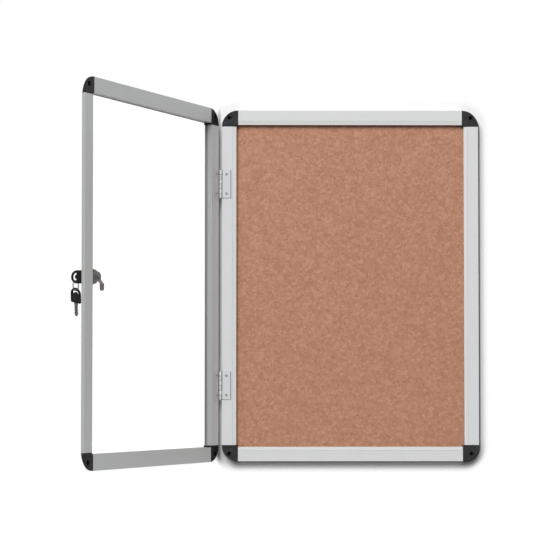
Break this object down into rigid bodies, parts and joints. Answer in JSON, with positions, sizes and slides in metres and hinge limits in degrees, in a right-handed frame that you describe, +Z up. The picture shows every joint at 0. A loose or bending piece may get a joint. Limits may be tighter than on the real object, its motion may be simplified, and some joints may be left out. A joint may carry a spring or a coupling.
{
  "type": "lockable notice board",
  "caption": "Wall-hung cork notice board in an aluminium frame with black corners and a hinged, glazed door that a cam lock holds shut; keys in the lock.",
  "frame": {"origin": "on the wall plane, in the middle of the four wall screw holes", "axes": "+Z up, +Y into the wall, the board faces -Y, +X to the right of someone who looks at it"},
  "size_m": [0.7503, 0.4722, 0.678],
  "materials": {
    "frame_aluminium": "satin anodised",
    "corner_plastic": "fine moulded grain",
    "cork": "pressed cork granules",
    "core_board": "soft fibre board",
    "back_sheet": "mill",
    "hinge_steel": "satin nickel",
    "pin_steel": "drawn",
    "screw_steel": "zinc plated",
    "door_aluminium": "satin anodised",
    "clear_pane": "clear polished sheet",
    "gasket_rubber": "matt",
    "washer_rubber": "matt",
    "lock_zinc": "nickel plated",
    "cam_steel": "zinc plated",
    "key_steel": "nickel plated",
    "bow_plastic": "moulded",
    "ring_steel": "nickel plated"
  },
  "bodies": {
    "board": {"frame_left": "frame_aluminium", "frame_right": "frame_aluminium", "frame_top": "frame_aluminium", "frame_bottom": "frame_aluminium", "frame_corner_top_left": "corner_plastic", "frame_corner_top_right": "corner_plastic", "frame_corner_bottom_left": "corner_plastic", "frame_corner_bottom_right": "corner_plastic", "cork_sheet": "cork", "core_board": "core_board", "back_sheet": "back_sheet", "frame_hinge_leaf_upper": "hinge_steel", "frame_hinge_leaf_lower": "hinge_steel", "hinge_pin_upper": "pin_steel", "hinge_pin_lower": "pin_steel", "frame_hinge_screws": "screw_steel"},
    "door": {"door_left": "door_aluminium", "door_right": "door_aluminium", "door_top": "door_aluminium", "door_bottom": "door_aluminium", "door_corner_top_left": "corner_plastic", "door_corner_top_right": "corner_plastic", "door_corner_bottom_left": "corner_plastic", "door_corner_bottom_right": "corner_plastic", "door_pane": "clear_pane", "gasket_left": "gasket_rubber", "gasket_right": "gasket_rubber", "gasket_top": "gasket_rubber", "gasket_bottom": "gasket_rubber", "door_hinge_leaf_upper": "hinge_steel", "door_hinge_leaf_lower": "hinge_steel", "door_hinge_screws": "screw_steel", "lock_body": "lock_zinc", "lock_outer_washer": "washer_rubber", "lock_inner_washer": "lock_zinc", "lock_nut": "lock_zinc"},
    "cam_lock": {"lock_plug": "lock_zinc", "lock_cam": "cam_steel", "cam_screw": "screw_steel"},
    "key": {"key_blade": "key_steel", "key_bow": "bow_plastic"},
    "ring": {"key_ring": "ring_steel"},
    "spare_key": {"spare_key_blade": "key_steel", "spare_key_bow": "bow_plastic"}
  },
  "joints": [
    {"name": "door_swing", "type": "hinge", "parent": "board", "child": "door", "pos_m": [-0.251, -0.0255, 0], "axis": [0, 0, -1], "range_deg": [-116.2, 53.8]},
    {"name": "lock_turn", "type": "hinge", "parent": "door", "child": "cam_lock", "pos_m": [-0.45213, -0.43085, -0.005], "axis": [-0.8973, 0.4415, 0], "range_deg": [0, 90]},
    {"name": "key_pull", "type": "slide", "parent": "cam_lock", "child": "key", "axis": [-0.8973, 0.4415, 0], "range_m": [0, 0.025]},
    {"name": "ring_swing", "type": "hinge", "parent": "key", "child": "ring", "pos_m": [-0.49277, -0.41085, -0.0111], "axis": [0.4415, 0.8973, 0], "range_deg": [-15, 30]},
    {"name": "spare_key_swing", "type": "hinge", "parent": "ring", "child": "spare_key", "pos_m": [-0.49277, -0.41085, -0.0291], "axis": [0.4415, 0.8973, 0], "range_deg": [-20, 36]}
  ]
}
